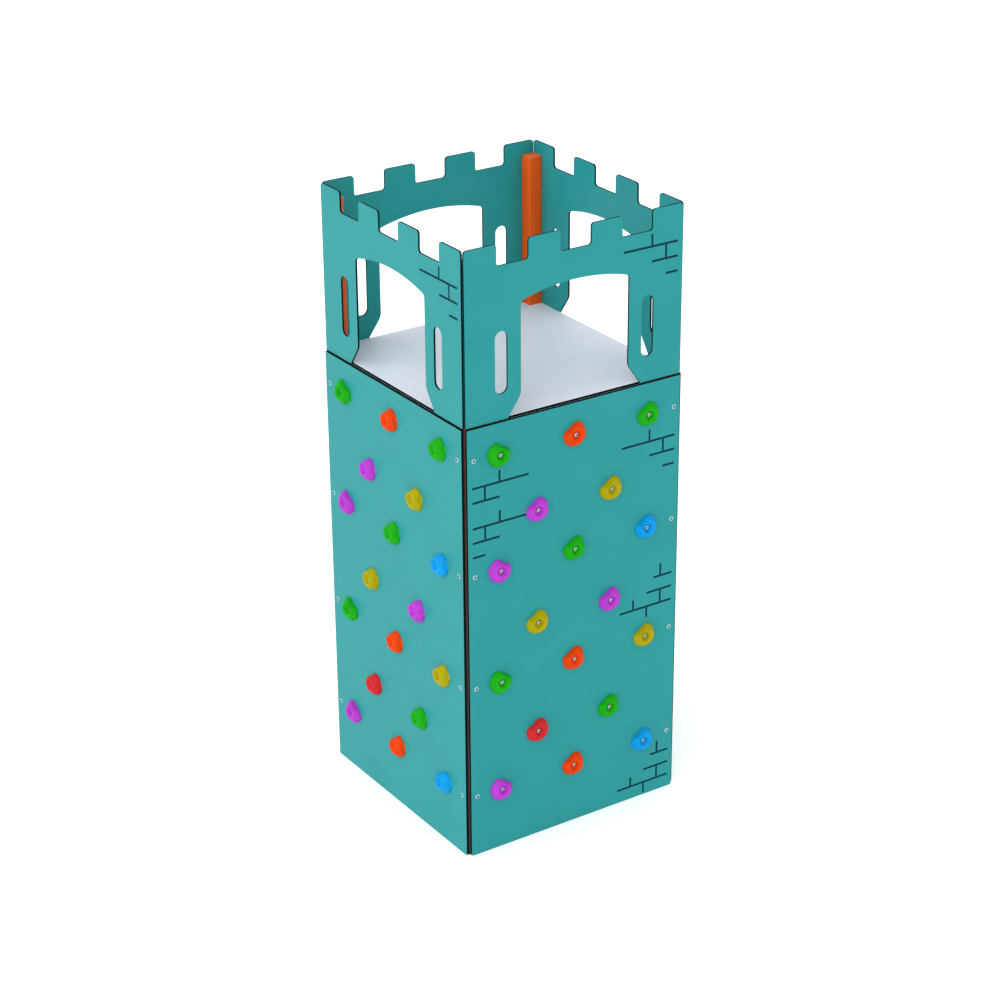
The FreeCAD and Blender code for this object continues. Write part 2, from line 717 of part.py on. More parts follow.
# ---- the whole tower, node by node ----
def tower_nodes():
    nodes = {}
    for name, turn in post_turns.items():
        nodes["post_" + name] = [turned(post(name), turn)]
    nodes["post_caps"] = [turned(post_cap(), turn) for turn in post_turns.values()]
    nodes["base_plates"] = [turned(base_plate(), turn) for turn in post_turns.values()]

    plain_board = climbing_board(False)
    engraved_board = climbing_board(True)
    rails = {name: rail(level, name == "deck_beam") for name, level in rail_levels.items()}
    for side, turn in side_turns.items():
        board = engraved_board if side in engraved_sides else plain_board
        nodes["climbing_board_" + side] = [turned(board, turn)]
        nodes["battlement_board_" + side] = [turned(battlement_board(side), turn)]
        for name, shape in rails.items():
            if name == "deck_beam" and side in ("front", "back"):
                shape = deck_beam_joist_holes(shape)
            nodes[name + "_" + side] = [turned(shape, turn)]

    joist_lines = (-joist_spacing / 2, joist_spacing / 2)
    nodes["deck_panel"] = [deck()]
    nodes["deck_joists"] = [joist(x) for x in joist_lines]
    nodes["deck_screws"] = [deck_screw_shape(x, y, 0) for x, y in deck_screw_places()]

    fasteners = ("board_screws", "board_spacers", "battlement_bolts", "rail_bolts",
                 "rivet_nuts", "hold_bolts", "t_nuts")
    for name in fasteners:
        nodes[name] = []
    for x in joist_lines:
        nodes["rail_bolts"] += joist_bolts(x)
    for side, turn in side_turns.items():
        for x, z in screw_places():
            nodes["board_screws"].append(turned(board_screw(x, z), turn))
            nodes["board_spacers"].append(turned(spacer(x, z), turn))
            nodes["rivet_nuts"].append(turned(rivet_nut(x, z, -post_face), turn))
        for z in bolt_rows(side):
            for x in (-post_middle, post_middle):
                nodes["battlement_bolts"].append(turned(battlement_bolt(x, z, side), turn))
                if side in outside_bolted_sides:
                    nodes["rivet_nuts"].append(turned(flush_nut(x, z), turn))
        for end in (-1, 1):
            for z in rail_bolt_heights(end):
                nodes["rail_bolts"].append(turned(rail_bolt(z, end), turn))
                nodes["rivet_nuts"].append(turned(rail_rivet_nut(z, end), turn))

    hold = hold_blank()
    bolt = hold_bolt_blank()
    t_nut = t_nut_blank()
    for side in side_turns:
        for x, z, colour, hold_turn in hold_places():
            nodes.setdefault(colour + "_holds_" + side, []).append(
                placed_on_board(hold, x, z, hold_turn, side))
            nodes["hold_bolts"].append(placed_on_board(bolt, x, z, 0, side))
            nodes["t_nuts"].append(placed_on_board(t_nut, x, z, 0, side))
    return nodes


def flush_nut(x, z):
    """An insert without a flange, so that the battlement board lies flat on the post."""
    body = rod(x, z, -post_face, -post_face + rivet_nut_length, rivet_nut_radius)
    return body.cut(rod(x, z, -post_face, -post_face + rivet_nut_length, screw_radius + thread_clearance))


def write_nodes(nodes):
    os.makedirs("parts", exist_ok=True)
    for name, solids in nodes.items():
        for solid in solids:
            if not solid.isValid() or len(solid.Solids) != 1:
                raise ValueError(name + " is not one valid solid")
        shape = solids[0] if len(solids) == 1 else Part.makeCompound(solids)
        shape.exportStep(os.path.join("parts", name + ".step"))
    print(len(nodes), "nodes,", sum(len(s) for s in nodes.values()), "solids")


write_nodes(tower_nodes())
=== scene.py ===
import math

import bmesh
import bpy
from mathutils import Matrix, Vector


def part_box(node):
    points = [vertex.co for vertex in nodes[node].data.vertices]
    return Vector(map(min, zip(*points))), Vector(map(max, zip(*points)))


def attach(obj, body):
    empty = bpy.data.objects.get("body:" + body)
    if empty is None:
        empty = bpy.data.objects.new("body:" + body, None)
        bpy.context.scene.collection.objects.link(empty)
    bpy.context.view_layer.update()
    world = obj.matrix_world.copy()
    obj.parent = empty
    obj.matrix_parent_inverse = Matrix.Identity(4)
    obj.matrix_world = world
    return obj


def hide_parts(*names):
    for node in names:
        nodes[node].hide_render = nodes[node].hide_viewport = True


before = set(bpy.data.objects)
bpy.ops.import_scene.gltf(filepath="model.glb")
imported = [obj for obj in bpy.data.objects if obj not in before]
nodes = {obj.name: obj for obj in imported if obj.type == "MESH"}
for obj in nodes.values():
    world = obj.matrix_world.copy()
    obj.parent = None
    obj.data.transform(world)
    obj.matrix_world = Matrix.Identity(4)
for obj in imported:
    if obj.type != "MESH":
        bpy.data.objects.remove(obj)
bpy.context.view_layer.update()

mm = 0.001
# each side is made as the front, which faces -Y, and turned about Z
sideTurns = {"front": 0, "right": 90, "back": 180, "left": 270}
# how far the outer and the inner face of each kind of board, and the posts, are from the tower's middle
climbLow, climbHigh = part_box("climbing_board_front")
battleLow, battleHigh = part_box("battlement_board_front")
deckLow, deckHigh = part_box("deck_panel")
postLow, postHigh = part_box("post_front_left")


def linearColour(hexCode):
    channels = [int(hexCode[i:i + 2], 16) / 255 for i in (1, 3, 5)]
    return tuple(c / 12.92 if c <= 0.04045 else ((c + 0.055) / 1.055) ** 2.4 for c in channels) + (1.0,)


def addNode(tree, kind, links=None, **settings):
    # links maps an input's name or number to a value or to another node's output
    node = tree.nodes.new(kind)
    for name, value in settings.items():
        setattr(node, name, value)
    for key, value in (links or {}).items():
        if isinstance(value, bpy.types.NodeSocket):
            tree.links.new(value, node.inputs[key])
        else:
            node.inputs[key].default_value = value
    return node


# the middle of a noise's range, which the changes of shade and gloss are stretched from
noiseRange = {"From Min": 0.3, "From Max": 0.7}
noiseDetail = {"smear": 4.0, "grain": 3.0}


def startMaterial(name, finish, constants):
    # what every finish of the tower has: slow patches of shade, smears of gloss and a fine grain
    material = bpy.data.materials.new(name)
    material.use_nodes = True
    tree = material.node_tree
    tree.nodes.clear()
    shader = addNode(tree, "ShaderNodeBsdfPrincipled", constants)
    addNode(tree, "ShaderNodeOutputMaterial", {"Surface": shader.outputs["BSDF"]})
    place = addNode(tree, "ShaderNodeTexCoord").outputs["Object"]
    patches = addNode(tree, "ShaderNodeTexNoise", {"Vector": place, "Scale": 1 / finish["patch"]})
    level = addNode(tree, "ShaderNodeMapRange", {
        "Value": patches.outputs[0], "To Min": 1 - finish["shadeChange"],
        "To Max": 1 + finish["shadeChange"], **noiseRange})
    shade = addNode(tree, "ShaderNodeHueSaturation", {
        "Color": linearColour(finish["colour"]), "Value": level.outputs[0]})
    tree.links.new(shade.outputs[0], shader.inputs["Base Color"])
    smears = addNode(tree, "ShaderNodeTexNoise", {
        "Vector": place, "Scale": 1 / finish["smear"], "Detail": noiseDetail["smear"]})
    gloss = addNode(tree, "ShaderNodeMapRange", {
        "Value": smears.outputs[0], "To Min": finish["roughness"] - finish["glossChange"],
        "To Max": finish["roughness"] + finish["glossChange"], **noiseRange})
    tree.links.new(gloss.outputs[0], shader.inputs["Roughness"])
    grain = addNode(tree, "ShaderNodeTexNoise", {
        "Vector": place, "Scale": 1 / finish["grain"], "Detail": noiseDetail["grain"]})
    relief = addNode(tree, "ShaderNodeBump", {"Height": grain.outputs[0], "Distance": finish["grainDepth"]})
    tree.links.new(relief.outputs[0], shader.inputs["Normal"])
    return {"material": material, "tree": tree, "shader": shader, "place": place,
            "shade": shade.outputs[0], "gloss": gloss.outputs[0], "relief": relief.outputs[0]}


laminate = {
    "core": "#030406",
    "engraved": "#113C48",        # floor of the brick lines, 2 mm down, a little lighter than a sawn edge
    "engravedDepth": 2.1 * mm,
    "paperThickness": 0.5 * mm,   # coloured sheet pressed on each face of the black core
    "sawnRoughness": 0.95,
    "constants": {"IOR": 1.5, "Specular IOR Level": 0.1},  # matt melamine overlay
    "studPitch": 7 * mm,          # anti-slip studs of the deck
    "studDepth": 0.25 * mm, "studStrength": 0.5, "studUnevenness": 0.25,
}
tealSheet = {
    "colour": "#289091",
    "patch": 240 * mm, "shadeChange": 0.025,        # slow change over a pressed sheet
    "roughness": 0.37, "smear": 60 * mm, "glossChange": 0.04,
    "grain": 3.5 * mm, "grainDepth": 0.05 * mm,     # pressed texture, coarser than the real 1 mm to show
}
deckSheet = {**tealSheet, "colour": "#D5DDE9"}


def compactLaminate(name, sheetFinish, outer, inner, flat=False):
    # high-pressure laminate: satin coloured faces, and a black core at every sawn edge and engraved line
    made = startMaterial(name, sheetFinish, laminate["constants"])
    tree = made["tree"]
    axes = addNode(tree, "ShaderNodeSeparateXYZ", {0: made["place"]})
    if flat:
        depth = axes.outputs["Z"]
    else:
        # distance from the tower's middle, across whichever board this is
        sideways = addNode(tree, "ShaderNodeMath", {0: axes.outputs["X"]}, operation="ABSOLUTE")
        lengthways = addNode(tree, "ShaderNodeMath", {0: axes.outputs["Y"]}, operation="ABSOLUTE")
        depth = addNode(tree, "ShaderNodeMath", {0: sideways.outputs[0], 1: lengthways.outputs[0]},
                        operation="MAXIMUM").outputs[0]
    nearOuter = addNode(tree, "ShaderNodeMath", {0: depth, 1: outer - laminate["paperThickness"]},
                        operation="GREATER_THAN")
    nearInner = addNode(tree, "ShaderNodeMath", {0: depth, 1: inner + laminate["paperThickness"]},
                        operation="LESS_THAN")
    sheet = addNode(tree, "ShaderNodeMath", {0: nearOuter.outputs[0], 1: nearInner.outputs[0]},
                    operation="ADD")
    shallow = addNode(tree, "ShaderNodeMath", {0: depth, 1: outer - laminate["engravedDepth"]},
                      operation="GREATER_THAN")
    # a Mix node in colour mode has its colours at 6 and 7 and its result at 2
    cut = addNode(tree, "ShaderNodeMix", {
        0: shallow.outputs[0], 6: linearColour(laminate["core"]), 7: linearColour(laminate["engraved"])},
        data_type="RGBA")
    colour = addNode(tree, "ShaderNodeMix", {0: sheet.outputs[0], 6: cut.outputs[2], 7: made["shade"]},
                     data_type="RGBA")
    tree.links.new(colour.outputs[2], made["shader"].inputs["Base Color"])
    rough = addNode(tree, "ShaderNodeMix", {
        0: sheet.outputs[0], 2: laminate["sawnRoughness"], 3: made["gloss"]})
    tree.links.new(rough.outputs[0], made["shader"].inputs["Roughness"])
    if flat:
        studs = addNode(tree, "ShaderNodeTexVoronoi", {
            "Vector": made["place"], "Scale": 1 / laminate["studPitch"],
            "Randomness": laminate["studUnevenness"]})
        raised = addNode(tree, "ShaderNodeMapRange", {
            "Value": studs.outputs["Distance"], "To Min": 1.0, "To Max": 0.0, **noiseRange})
        relief = addNode(tree, "ShaderNodeBump", {
            "Height": raised.outputs[0], "Distance": laminate["studDepth"],
            "Strength": laminate["studStrength"], "Normal": made["relief"]})
        tree.links.new(relief.outputs[0], made["shader"].inputs["Normal"])
    return made["material"]


powderCoat = {
    "colour": "#ED5904",
    "patch": 90 * mm, "shadeChange": 0.04,
    "roughness": 0.38, "smear": 30 * mm, "glossChange": 0.04,
    "grain": 5 * mm, "grainDepth": 0.08 * mm,
    "constants": {"IOR": 1.5, "Specular IOR Level": 0.3},
    "paintedShadeColour": "#5A2212",          # painted shade: dark brown on the post where the boards hide it, standing in for the shade of the corner gap
    "paintedShadeDepth": 9 * mm,
}


def orangePowderCoat():
    # sprayed and baked polyester powder on steel: even colour with a faint orange-peel surface
    made = startMaterial("powderCoatOrange", powderCoat, powderCoat["constants"])
    tree = made["tree"]
    axes = addNode(tree, "ShaderNodeSeparateXYZ", {0: made["place"]})
    # painted shade: the post's outer faces below the battlement boards, and its outer corners all the way up,
    # are coloured dark brown
    skin = -postLow.x - powderCoat["paintedShadeDepth"]
    sideways = addNode(tree, "ShaderNodeMath", {0: axes.outputs["X"]}, operation="ABSOLUTE")
    lengthways = addNode(tree, "ShaderNodeMath", {0: axes.outputs["Y"]}, operation="ABSOLUTE")
    farther = addNode(tree, "ShaderNodeMath", {0: sideways.outputs[0], 1: lengthways.outputs[0]},
                      operation="MAXIMUM")
    nearer = addNode(tree, "ShaderNodeMath", {0: sideways.outputs[0], 1: lengthways.outputs[0]},
                     operation="MINIMUM")
    outerSkin = addNode(tree, "ShaderNodeMath", {0: farther.outputs[0], 1: skin}, operation="GREATER_THAN")
    corner = addNode(tree, "ShaderNodeMath", {0: nearer.outputs[0], 1: skin}, operation="GREATER_THAN")
    low = addNode(tree, "ShaderNodeMath", {0: axes.outputs["Z"], 1: battleLow.z}, operation="LESS_THAN")
    hidden = addNode(tree, "ShaderNodeMath", {0: low.outputs[0], 1: corner.outputs[0]}, operation="MAXIMUM")
    paintedShadeMask = addNode(tree, "ShaderNodeMath", {0: outerSkin.outputs[0], 1: hidden.outputs[0]},
                   operation="MULTIPLY")
    colour = addNode(tree, "ShaderNodeMix", {
        0: paintedShadeMask.outputs[0], 6: made["shade"], 7: linearColour(powderCoat["paintedShadeColour"])}, data_type="RGBA")
    tree.links.new(colour.outputs[2], made["shader"].inputs["Base Color"])
    return made["material"]


polyamide = {
    "colour": "#ED5F0C",
    "patch": 25 * mm, "shadeChange": 0.03,
    "roughness": 0.5, "smear": 20 * mm, "glossChange": 0.03,
    "grain": 1.5 * mm, "grainDepth": 0.06 * mm,     # spark-eroded texture of the mould
}
rubber = {
    "colour": "#1B1C1D",
    "patch": 4 * mm, "shadeChange": 0.2,
    "roughness": 0.75, "smear": 6 * mm, "glossChange": 0.05,
    "grain": 1 * mm, "grainDepth": 0.1 * mm,
}
zinc = {
    # painted shade: zinc coloured dark so the frame seen behind the boards reads as shadow
    "colour": "#3E4244",
    "patch": 10 * mm, "shadeChange": 0.18,          # spangles
    "roughness": 0.52, "smear": 12 * mm, "glossChange": 0.08,
    "grain": 2 * mm, "grainDepth": 0.05 * mm,
}
stainless = {
    "patch": 3 * mm, "shadeChange": 0.04,
    "roughness": 0.32, "smear": 1.2 * mm, "glossChange": 0.07,    # tumbling marks
    "grain": 1 * mm, "grainDepth": 0.01 * mm,
}


def stainlessSteel(name, colour, socketShadeColour):
    # cold-headed A2 stainless: bright rim, and the socket's faces coloured darker as painted shade
    made = startMaterial(name, {**stainless, "colour": colour}, {"Metallic": 1.0})
    inSocket = addNode(made["tree"], "ShaderNodeAttribute", attribute_name="socket")
    shade = addNode(made["tree"], "ShaderNodeMix", {
        0: inSocket.outputs["Fac"], 6: made["shade"], 7: linearColour(socketShadeColour)}, data_type="RGBA")
    made["tree"].links.new(shade.outputs[2], made["shader"].inputs["Base Color"])
    return made["material"]


resin = {
    "patch": 35 * mm, "shadeChange": 0.06,
    "roughness": 0.51, "smear": 25 * mm, "glossChange": 0.06,
    "grain": 1.6 * mm, "grainDepth": 0.1 * mm,      # sand grain of the grip, twice its size so that it shows
    "constants": {"IOR": 1.49, "Specular IOR Level": 0.1},        # the grain scatters nearly all of the gloss
}
resinColours = {
    "green": "#14A20C", "magenta": "#B03AC3", "orange": "#DB3F00",
    "yellow": "#A59B00", "blue": "#0093D8", "red": "#C42528",
}


def paint(names, material):
    for name in names:
        for slot in nodes[name].material_slots:
            slot.link = "OBJECT"
            slot.material = material


paint([n for n in nodes if n.startswith("climbing_board_")],
      compactLaminate("compactLaminateTeal", tealSheet, -climbLow.y, -climbHigh.y))
paint([n for n in nodes if n.startswith("battlement_board_")],
      compactLaminate("compactLaminateTealThin", tealSheet, -battleLow.y, -battleHigh.y))
paint(["deck_panel", "deck_screws"],
      compactLaminate("compactLaminateDeck", deckSheet, deckHigh.z, deckLow.z, flat=True))
paint([n for n in nodes if n.startswith("post_")], orangePowderCoat())
# injection-moulded polyamide: matte, with an even fine texture
paint(["post_caps"], startMaterial("mouldedPolyamideOrange", polyamide, {"IOR": 1.53})["material"])
# pressed nitrile washers: black, matte and slightly grainy
paint(["board_spacers"], startMaterial("nitrileRubber", rubber, {"IOR": 1.52})["material"])
# hot-dip zinc, dull, coloured dark as painted shade so the shut space behind the boards reads black
zincPaintedShade = startMaterial("zincPaintedShade", zinc, {"Metallic": 1.0})["material"]
paint([n for n in nodes if "_rail_" in n or n.startswith("deck_beam_")], zincPaintedShade)
paint(["base_plates", "deck_joists", "rail_bolts", "rivet_nuts", "t_nuts"], zincPaintedShade)
print("CAD nodes painted")


def islands(node):
    # lowest and highest corner of every separate solid in a CAD node, from a merged copy of its mesh
    shell = bmesh.new()
    shell.from_mesh(nodes[node].data)
    bmesh.ops.remove_doubles(shell, verts=shell.verts, dist=0.01 * mm)
    seen = set()
    boxes = []
    for start in shell.verts:
        if start in seen:
            continue
        seen.add(start)
        queue = [start]
        low = Vector(start.co)
        high = Vector(start.co)
        while queue:
            vert = queue.pop()
            low = Vector(map(min, low, vert.co))
            high = Vector(map(max, high, vert.co))
            for edge in vert.link_edges:
                other = edge.other_vert(vert)
                if other not in seen:
                    seen.add(other)
                    queue.append(other)
        boxes.append((low, high))
    shell.free()
    return boxes


def sideOf(middle):
    if abs(middle.y) > abs(middle.x):
        return "front" if middle.y < 0 else "back"
    return "right" if middle.x > 0 else "left"


def layoutObject(name, places):
    # one loose vertex for each copy, with the turn of the copy as Euler angles
    mesh = bpy.data.meshes.new(name)
    mesh.from_pydata([place for place, turn in places], [], [])
    turns = mesh.attributes.new("turn", "FLOAT_VECTOR", "POINT")
    turns.data.foreach_set("vector", [angle for place, turn in places for angle in turn])
    layout = bpy.data.objects.new(name, mesh)
    bpy.context.scene.collection.objects.link(layout)
    return layout


def outwardTurn(side, clockwise=0):
    # a copy's own Z points away from the board and its Y points up, before it is turned clockwise
    return (math.radians(90), math.radians(clockwise), math.radians(sideTurns[side]))


def onFace(middle, side, distance):
    # the point at that distance from the tower's middle, straight out from a solid's middle
    point = Vector(middle)
    if side in ("front", "back"):
        point.y = math.copysign(distance, middle.y)
    else:
        point.x = math.copysign(distance, middle.x)
    return point


def newTree(name, inputs):
    tree = bpy.data.node_groups.new(name, "GeometryNodeTree")
    tree.interface.new_socket("Geometry", in_out="INPUT", socket_type="NodeSocketGeometry")
    for label, kind in inputs:
        tree.interface.new_socket(label, in_out="INPUT", socket_type="NodeSocket" + kind)
    tree.interface.new_socket("Geometry", in_out="OUTPUT", socket_type="NodeSocketGeometry")
    return tree


def copiesOnPoints(tree, start, shape):
    # the last steps of every tree: a copy on each point, made real, with its material
    turn = addNode(tree, "GeometryNodeInputNamedAttribute", {"Name": "turn"}, data_type="FLOAT_VECTOR")
    rotation = addNode(tree, "FunctionNodeEulerToRotation", {"Euler": turn.outputs["Attribute"]})
    copies = addNode(tree, "GeometryNodeInstanceOnPoints",
                     {"Points": start.outputs["Geometry"], "Instance": shape,
                      "Rotation": rotation.outputs["Rotation"]})
    real = addNode(tree, "GeometryNodeRealizeInstances", {"Geometry": copies.outputs["Instances"]})
    painted = addNode(tree, "GeometryNodeSetMaterial",
                      {"Geometry": real.outputs["Geometry"], "Material": start.outputs["Material"]})
    addNode(tree, "NodeGroupOutput", {"Geometry": painted.outputs["Geometry"]})


def runTree(layout, tree, values, name, sharpAngle):
    # sets the tree's inputs, keeps its result as a plain mesh and drops the modifier
    modifier = layout.modifiers.new(tree.name, "NODES")
    modifier.node_group = tree
    for item in tree.interface.items_tree:
        if item.item_type == "SOCKET" and item.in_out == "INPUT" and item.name in values:
            modifier[item.identifier] = values[item.name]
    layout.update_tag()
    depsgraph = bpy.context.evaluated_depsgraph_get()
    mesh = bpy.data.meshes.new_from_object(layout.evaluated_get(depsgraph))
    layout.modifiers.clear()
    bpy.data.objects.remove(layout)
    mesh.name = name
    mesh.shade_smooth()
    mesh.set_sharp_from_angle(angle=math.radians(sharpAngle))
    for attribute in [a for a in mesh.attributes if a.name == "turn"]:
        mesh.attributes.remove(attribute)
    piece = bpy.data.objects.new(name, mesh)
    bpy.context.scene.collection.objects.link(piece)
    return piece


fastenerInputs = [
    ("Material", "Material"), ("Head Radius", "Float"), ("Head Height", "Float"),
    ("Rounding Width", "Float"), ("Rounding Height", "Float"),
    ("Socket Radius", "Float"), ("Socket Depth", "Float"),
    ("Shank Radius", "Float"), ("Shank Length", "Float"),
]
fastenerDetail = {"sides": 24, "roundingSteps": 4, "weldDistance": 0.001 * mm, "sharpAngle": 30}


def fastenerTree():
    # a disc grown upwards ring by ring: shank, underside, rounded head and hexagon socket
    tree = newTree("fasteners", fastenerInputs)
    start = addNode(tree, "NodeGroupInput")
    size = start.outputs
    position = addNode(tree, "GeometryNodeInputPosition").outputs[0]
    flat = addNode(tree, "ShaderNodeVectorMath", {0: position, 1: (1, 1, 0)}, operation="MULTIPLY").outputs[0]
    away = addNode(tree, "ShaderNodeVectorMath", {0: flat}, operation="NORMALIZE").outputs[0]
    parts = addNode(tree, "ShaderNodeSeparateXYZ", {0: away}).outputs

    bearing = addNode(tree, "ShaderNodeMath", {0: parts["Y"], 1: parts["X"]}, operation="ARCTAN2")
    # radius of a hexagon: its flat's distance over the cosine of the bearing within that flat
    sixth = math.pi / 3
    sector = addNode(tree, "ShaderNodeMath", {0: bearing.outputs[0], 1: sixth}, operation="FLOORED_MODULO")
    withinFlat = addNode(tree, "ShaderNodeMath", {0: sector.outputs[0], 1: sixth / 2}, operation="SUBTRACT")
    slant = addNode(tree, "ShaderNodeMath", {0: withinFlat.outputs[0]}, operation="COSINE")
    flats = addNode(tree, "ShaderNodeMath", {0: size["Socket Radius"], 1: slant.outputs[0]},
                    operation="DIVIDE")
    hexagon = flats.outputs[0]

    def ringPlace(radius, height):
        outwards = addNode(tree, "ShaderNodeVectorMath", {0: away, "Scale": radius}, operation="SCALE")
        upwards = addNode(tree, "ShaderNodeCombineXYZ", {"Z": height})
        place = addNode(tree, "ShaderNodeVectorMath", {0: outwards.outputs[0], 1: upwards.outputs[0]},
                        operation="ADD")
        return place.outputs[0]

    shankEnd = addNode(tree, "ShaderNodeMath", {0: size["Shank Length"], 1: -1.0}, operation="MULTIPLY")
    disc = addNode(tree, "GeometryNodeMeshCircle", {"Vertices": fastenerDetail["sides"], "Radius": 1.0},
                   fill_type="NGON")
    tip = addNode(tree, "GeometryNodeSetPosition", {
        "Geometry": disc.outputs["Mesh"],
        "Position": ringPlace(size["Shank Radius"], shankEnd.outputs[0])})
    tipCap = addNode(tree, "GeometryNodeFlipFaces", {"Mesh": tip.outputs["Geometry"]})

    rings = [(size["Shank Radius"], 0.0), (size["Head Radius"], 0.0)]
    for step in range(fastenerDetail["roundingSteps"] + 1):
        # a quarter of an ellipse from the head's side to its top
        angle = math.radians(90) * step / fastenerDetail["roundingSteps"]
        radius = addNode(tree, "ShaderNodeMath", {
            0: size["Rounding Width"], 1: math.cos(angle) - 1, 2: size["Head Radius"]},
            operation="MULTIPLY_ADD")
        height = addNode(tree, "ShaderNodeMath", {
            0: size["Rounding Height"], 1: math.sin(angle) - 1, 2: size["Head Height"]},
            operation="MULTIPLY_ADD")
        rings.append((radius.outputs[0], height.outputs[0]))
    socketFloor = addNode(tree, "ShaderNodeMath", {0: size["Head Height"], 1: size["Socket Depth"]},
                          operation="SUBTRACT")
    rings.append((hexagon, size["Head Height"]))
    rings.append((hexagon, socketFloor.outputs[0]))

    body = tip.outputs["Geometry"]
    top = None
    for radius, height in rings:
        links = {"Mesh": body, "Offset Scale": 0.0, "Individual": False}
        if top is not None:
            links["Selection"] = top
        grown = addNode(tree, "GeometryNodeExtrudeMesh", links, mode="FACES")
        top = grown.outputs["Top"]
        moved = addNode(tree, "GeometryNodeSetPosition",
                        {"Geometry": grown.outputs["Mesh"], "Selection": top,
                         "Position": ringPlace(radius, height)})
        body = moved.outputs["Geometry"]
    inSocket = addNode(tree, "FunctionNodeBooleanMath", {0: grown.outputs["Side"], 1: top}, operation="OR")
    marked = addNode(tree, "GeometryNodeStoreNamedAttribute",
                     {"Geometry": body, "Selection": inSocket.outputs[0], "Name": "socket", "Value": 1.0},
                     data_type="FLOAT", domain="FACE")
    closed = addNode(tree, "GeometryNodeJoinGeometry")
    tree.links.new(marked.outputs[0], closed.inputs[0])
    tree.links.new(tipCap.outputs[0], closed.inputs[0])
    merged = addNode(tree, "GeometryNodeMergeByDistance",
                     {"Geometry": closed.outputs[0], "Distance": fastenerDetail["weldDistance"]})
    copiesOnPoints(tree, start, merged.outputs["Geometry"])
    return tree


fasteners = fastenerTree()

screwHeads = {
    # low button heads that hold the climbing boards
    "board_screws": {"headRadius": 12 * mm, "headHeight": 2.5 * mm, "roundingWidth": 6.2 * mm,
                     "roundingHeight": 2.2 * mm, "socketRadius": 6.0 * mm, "socketDepth": 2.3 * mm,
                     "shankRadius": 4 * mm},
    # tall dome heads of the battlement boards
    "battlement_bolts": {"headRadius": 13.8 * mm, "headHeight": 5 * mm, "roundingWidth": 8.6 * mm,
                         "roundingHeight": 4.6 * mm, "socketRadius": 4.0 * mm, "socketDepth": 2.6 * mm,
                         "shankRadius": 4 * mm},
    # socket-head cap screws in the middle of the holds
    "hold_bolts": {"headRadius": 10 * mm, "headHeight": 8 * mm, "roundingWidth": 1.3 * mm,
                   "roundingHeight": 1.3 * mm, "socketRadius": 4.2 * mm, "socketDepth": 4.5 * mm,
                   "shankRadius": 5 * mm},
}


def fastenerPlaces(node, headHeight):
    # a seat point and a turn for each fastener; a head stands at the end with the wider part, which is
    # inside on the battlement bolts of the front and left
    places = []
    for low, high in islands(node):
        middle = (low + high) / 2
        side = sideOf(middle)
        across = "y" if side in ("front", "back") else "x"
        outer = max(abs(getattr(low, across)), abs(getattr(high, across)))
        inner = min(abs(getattr(low, across)), abs(getattr(high, across)))
        fromInside = node == "battlement_bolts" and side in ("front", "left")
        if fromInside:
            seat = onFace(middle, side, inner + headHeight)
            opposite = {"front": "back", "left": "right"}[side]
            places.append((seat, outwardTurn(opposite), outer - inner - headHeight))
        else:
            seat = onFace(middle, side, outer - headHeight)
            places.append((seat, outwardTurn(side), outer - inner - headHeight))
    return places


def makeFasteners(node, material):
    head = screwHeads[node]
    places = fastenerPlaces(node, head["headHeight"])
    lengths = sorted({round(length, 5) for seat, turn, length in places})
    group = []
    for length in lengths:
        layout = layoutObject(node + "Layout", [(s, t) for s, t, n in places if round(n, 5) == length])
        values = {
            "Material": material, "Head Radius": head["headRadius"], "Head Height": head["headHeight"],
            "Rounding Width": head["roundingWidth"], "Rounding Height": head["roundingHeight"],
            "Socket Radius": head["socketRadius"], "Socket Depth": head["socketDepth"],
            "Shank Radius": head["shankRadius"], "Shank Length": length,
        }
        group.append(runTree(layout, fasteners, values, node + "_look", fastenerDetail["sharpAngle"]))
    piece = group[0]
    if len(group) > 1:
        joined = bmesh.new()
        for part in group:
            joined.from_mesh(part.data)
        joined.to_mesh(piece.data)
        joined.free()
        for part in group[1:]:
            bpy.data.objects.remove(part)
    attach(piece, "root")
    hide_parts(node)
    return piece


# the last colour of each steel is the painted shade of its socket
polished = stainlessSteel("stainlessSteelPolished", "#A6C2CA", "#4E6C74")
makeFasteners("board_screws", polished)
dulled = stainlessSteel("stainlessSteelDark", "#565C5E", "#1E2224")
makeFasteners("battlement_bolts", dulled)
tumbled = stainlessSteel("stainlessSteelTumbled", "#BEC4C9", "#8E9498")
makeFasteners("hold_bolts", tumbled)
print("screws and bolts made")

holdShape = {
    "directions": 24,
    "radius": 60.5 * mm, "lean": 0.02,
    "notches": ((123, 34, 0.31), (-88, 24, 0.05)),  # bearing, half angle, depth as a share of the radius
    "heavyBearing": -15,                           # the thick rim lies this way from the bolt
    # radius and height of each ring of the cage, on the thin side and on the thick side
    "rims": {
        "shoulder": ((49 * mm, 18 * mm), (53 * mm, 19 * mm)),
        "crest": ((42 * mm, 28 * mm), (42 * mm, 31 * mm)),
        "ridge": ((36 * mm, 32 * mm), (28 * mm, 38 * mm)),
        "lip": ((30 * mm, 29 * mm), (20 * mm, 34 * mm)),
        "bowl": ((20 * mm, 20 * mm), (14.5 * mm, 25 * mm)),
    },
    "ridgeCrease": 0.35,
    "footHeight": 8 * mm,
    "counterbore": ((12.2 * mm, 15 * mm), (10.9 * mm, 14 * mm), (10.8 * mm, 10 * mm)),
    "boreRadius": 5.4 * mm,
    "seatHeight": 10 * mm,
    "dentBearing": 15, "dentDepth": 15 * mm,       # finger dimple at the foot of the thick side
    # hole of the anti-spin screw, from the bolt
    "pinPlace": (-7 * mm, -18.5 * mm), "pinRadius": 2.8 * mm, "pinFloor": 9 * mm, "pinSides": 12,
    "rimInset": 2 * mm, "rimStep": 4 * mm,         # least distance of the rings from the outline
    "searchMargin": 1 * mm,                        # looseness in matching bolts to holds
    "turnedBy": 65,
    "smoothing": 2, "sharpAngle": 60,
}


